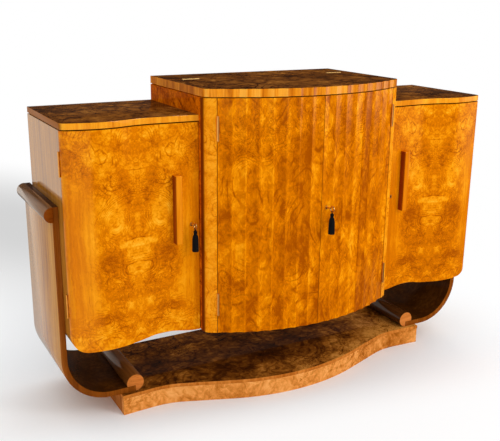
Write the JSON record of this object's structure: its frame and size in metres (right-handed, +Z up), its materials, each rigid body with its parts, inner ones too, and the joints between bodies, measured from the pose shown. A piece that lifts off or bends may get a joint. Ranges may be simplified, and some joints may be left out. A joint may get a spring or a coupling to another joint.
{
  "type": "bar cabinet",
  "caption": "Walnut bar cabinet with a fluted bow-fronted centre under a lift-up lid, lower side cupboards, and bent cradle panels with round rods on a serpentine plinth.",
  "frame": {"origin": "centre of the bounding box's bottom face, on the floor", "axes": "+X to the right as one faces the front, +Y to the rear, +Z up"},
  "size_m": [1.6972, 0.6122, 1.0846],
  "materials": {
    "burr_walnut": "book-matched burr walnut veneer, polished",
    "walnut_top": "burr walnut veneer, polished",
    "walnut_side": "straight-grained walnut veneer, polished",
    "solid_walnut": "polished solid walnut",
    "carcass_wood": "satin mahogany and ply",
    "brass": "aged, satin",
    "steel": "dull",
    "tassel_yarn": "black yarn"
  },
  "bodies": {
    "cabinet": {"plinth_front_apron": "burr_walnut", "left_top": "walnut_top", "right_top": "walnut_top", "rear_top_strip": "walnut_top", "plinth_top_board": "walnut_top", "left_outer_side": "walnut_side", "right_outer_side": "walnut_side", "left_cradle_panel": "walnut_side", "right_cradle_panel": "walnut_side", "centre_left_side": "walnut_side", "centre_right_side": "walnut_side", "centre_left_post": "walnut_side", "centre_right_post": "walnut_side", "plinth_ends": "walnut_side", "left_upper_rod": "solid_walnut", "right_upper_rod": "solid_walnut", "left_lower_rod": "solid_walnut", "right_lower_rod": "solid_walnut", "left_floor": "carcass_wood", "right_floor": "carcass_wood", "left_shelf": "carcass_wood", "right_shelf": "carcass_wood", "centre_floor": "carcass_wood", "centre_shelf": "carcass_wood", "well_floor": "carcass_wood", "well_front": "carcass_wood", "side_backs": "carcass_wood", "centre_back": "carcass_wood", "plinth_back_rail": "carcass_wood", "plinth_cross_rails": "carcass_wood", "frame_hinge_leaves": "brass", "strip_hinge_leaves": "brass", "stay_guides": "brass"},
    "left_door": {"left_door": "burr_walnut", "left_handle": "solid_walnut", "left_lock_case": "steel", "left_escutcheon": "brass", "left_door_hinge_leaves": "brass"},
    "right_door": {"right_door": "burr_walnut", "right_handle": "solid_walnut", "right_lock_case": "steel", "right_escutcheon": "brass", "right_door_hinge_leaves": "brass"},
    "centre_left_door": {"centre_left_door": "burr_walnut", "centre_left_hinge_leaves": "brass"},
    "centre_right_door": {"centre_right_door": "burr_walnut", "centre_right_hinge_leaves": "brass", "centre_lock_case": "steel", "centre_escutcheon": "brass"},
    "lid": {"lid": "walnut_top", "lid_hinge_leaves": "brass", "lid_stays": "brass"},
    "left_bolt": {"left_bolt": "steel"},
    "right_bolt": {"right_bolt": "steel"},
    "centre_bolt": {"centre_bolt": "steel"},
    "left_key": {"left_key": "brass"},
    "centre_key": {"centre_key": "brass"},
    "left_tassel": {"left_tassel": "tassel_yarn"},
    "centre_tassel": {"centre_tassel": "tassel_yarn"}
  },
  "joints": [
    {"name": "left_door_hinge", "type": "hinge", "parent": "cabinet", "child": "left_door", "pos_m": [-0.803, -0.09865, 0.64], "axis": [0, 0, -1], "range_deg": [0, 105]},
    {"name": "right_door_hinge", "type": "hinge", "parent": "cabinet", "child": "right_door", "pos_m": [0.803, -0.09865, 0.64], "axis": [0, 0, 1], "range_deg": [0, 105]},
    {"name": "centre_left_door_hinge", "type": "hinge", "parent": "cabinet", "child": "centre_left_door", "pos_m": [-0.3345, -0.18492, 0.67], "axis": [0, 0, -1], "range_deg": [0, 110]},
    {"name": "centre_right_door_hinge", "type": "hinge", "parent": "cabinet", "child": "centre_right_door", "pos_m": [0.3345, -0.18492, 0.67], "axis": [0, 0, 1], "range_deg": [0, 110]},
    {"name": "lid_hinge", "type": "hinge", "parent": "cabinet", "child": "lid", "pos_m": [0, 0.1141, 1.082], "axis": [-1, 0, 0], "range_deg": [0, 95]},
    {"name": "left_key_turn", "type": "hinge", "parent": "left_door", "child": "left_key", "pos_m": [-0.399, -0.1535, 0.654], "axis": [0, -1, 0], "range_deg": [0, 90]},
    {"name": "centre_key_turn", "type": "hinge", "parent": "centre_right_door", "child": "centre_key", "pos_m": [0.022, -0.2951, 0.692], "axis": [0, -1, 0], "range_deg": [0, 90]},
    {"name": "left_bolt_throw", "type": "slide", "parent": "left_door", "child": "left_bolt", "axis": [1, 0, 0], "range_m": [0, 0.008]},
    {"name": "right_bolt_throw", "type": "slide", "parent": "right_door", "child": "right_bolt", "axis": [-1, 0, 0], "range_m": [0, 0.008]},
    {"name": "centre_bolt_throw", "type": "slide", "parent": "centre_right_door", "child": "centre_bolt", "axis": [-1, 0, 0], "range_m": [0, 0.008]},
    {"name": "left_tassel_hang", "type": "hinge", "parent": "left_key", "child": "left_tassel", "pos_m": [-0.399, -0.1535, 0.645], "axis": [0, -1, 0], "range_deg": [-90, 0]},
    {"name": "centre_tassel_hang", "type": "hinge", "parent": "centre_key", "child": "centre_tassel", "pos_m": [0.022, -0.2951, 0.683], "axis": [0, -1, 0], "range_deg": [-90, 0]}
  ],
  "couplings": [
    {"joint": "left_bolt_throw", "follows": "left_key_turn", "m_per_rad": 0.005091},
    {"joint": "centre_bolt_throw", "follows": "centre_key_turn", "m_per_rad": 0.005091},
    {"joint": "left_tassel_hang", "follows": "left_key_turn", "ratio": -1},
    {"joint": "centre_tassel_hang", "follows": "centre_key_turn", "ratio": -1}
  ]
}
